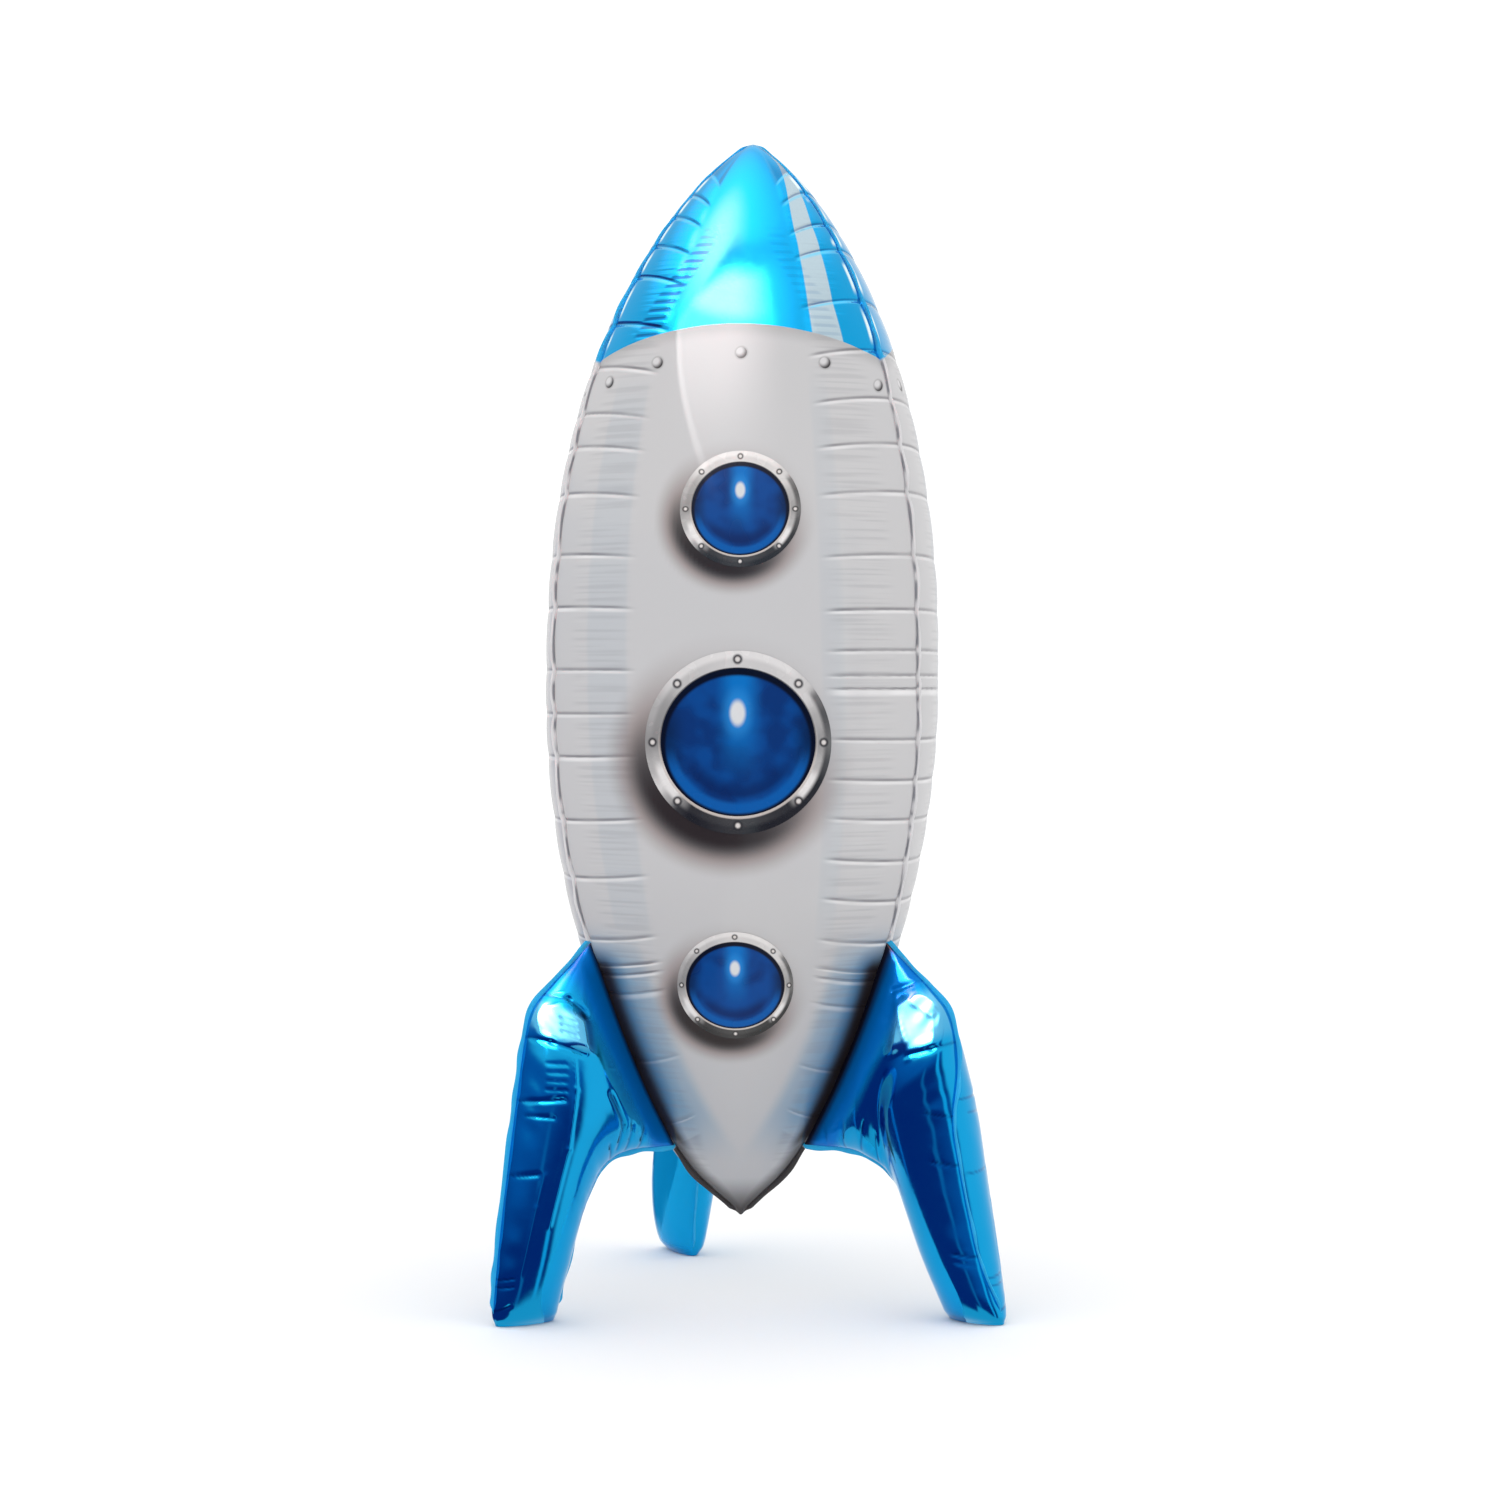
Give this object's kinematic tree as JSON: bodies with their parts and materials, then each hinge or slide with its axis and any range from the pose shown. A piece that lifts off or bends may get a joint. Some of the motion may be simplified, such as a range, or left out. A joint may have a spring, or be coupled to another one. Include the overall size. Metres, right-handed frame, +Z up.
{
  "type": "rocket-shaped standing foil balloon",
  "caption": "Inflated foil rocket with a pointed nose, printed round portholes, sealed seams with crinkled hems and blue fins it stands on.",
  "frame": {"origin": "on the floor, at the middle of the box round the balloon", "axes": "+Z up to the nose tip, -Y the way the front panel and its portholes face, +X to the right of the picture"},
  "size_m": [0.4814, 0.4494, 1.1202],
  "materials": {
    "blue_foil": "glossy metallic blue foil with small crinkles along the seams",
    "silver_foil": "pearly light grey foil, smooth in the middle of a panel and creased at the seams",
    "printed_rim_grey": "grey metal rim printed on the foil",
    "printed_glass_blue": "deep blue window printed on the foil",
    "clear_film": "thin translucent film"
  },
  "bodies": {
    "root": {"fin_left_front_face": "blue_foil", "fin_left_rear_face": "blue_foil", "fin_rear_left_face": "blue_foil", "fin_rear_right_face": "blue_foil", "fin_right_front_face": "blue_foil", "fin_right_rear_face": "blue_foil", "hem_left_lower": "blue_foil", "hem_left_upper": "blue_foil", "hem_rear_lower": "blue_foil", "hem_rear_upper": "blue_foil", "hem_right_lower": "blue_foil", "hem_right_upper": "blue_foil", "hull_panel_front": "silver_foil", "hull_panel_rear_left": "silver_foil", "hull_panel_rear_right": "silver_foil", "inflation_valve_tab": "clear_film", "nose_panel_front": "blue_foil", "nose_panel_rear_left": "blue_foil", "nose_panel_rear_right": "blue_foil", "porthole_glass_front_bottom": "printed_glass_blue", "porthole_glass_front_middle": "printed_glass_blue", "porthole_glass_front_top": "printed_glass_blue", "porthole_glass_rear_left_bottom": "printed_glass_blue", "porthole_glass_rear_left_middle": "printed_glass_blue", "porthole_glass_rear_left_top": "printed_glass_blue", "porthole_glass_rear_right_bottom": "printed_glass_blue", "porthole_glass_rear_right_middle": "printed_glass_blue", "porthole_glass_rear_right_top": "printed_glass_blue", "porthole_rim_front_bottom": "printed_rim_grey", "porthole_rim_front_middle": "printed_rim_grey", "porthole_rim_front_top": "printed_rim_grey", "porthole_rim_rear_left_bottom": "printed_rim_grey", "porthole_rim_rear_left_middle": "printed_rim_grey", "porthole_rim_rear_left_top": "printed_rim_grey", "porthole_rim_rear_right_bottom": "printed_rim_grey", "porthole_rim_rear_right_middle": "printed_rim_grey", "porthole_rim_rear_right_top": "printed_rim_grey"}
  },
  "joints": []
}
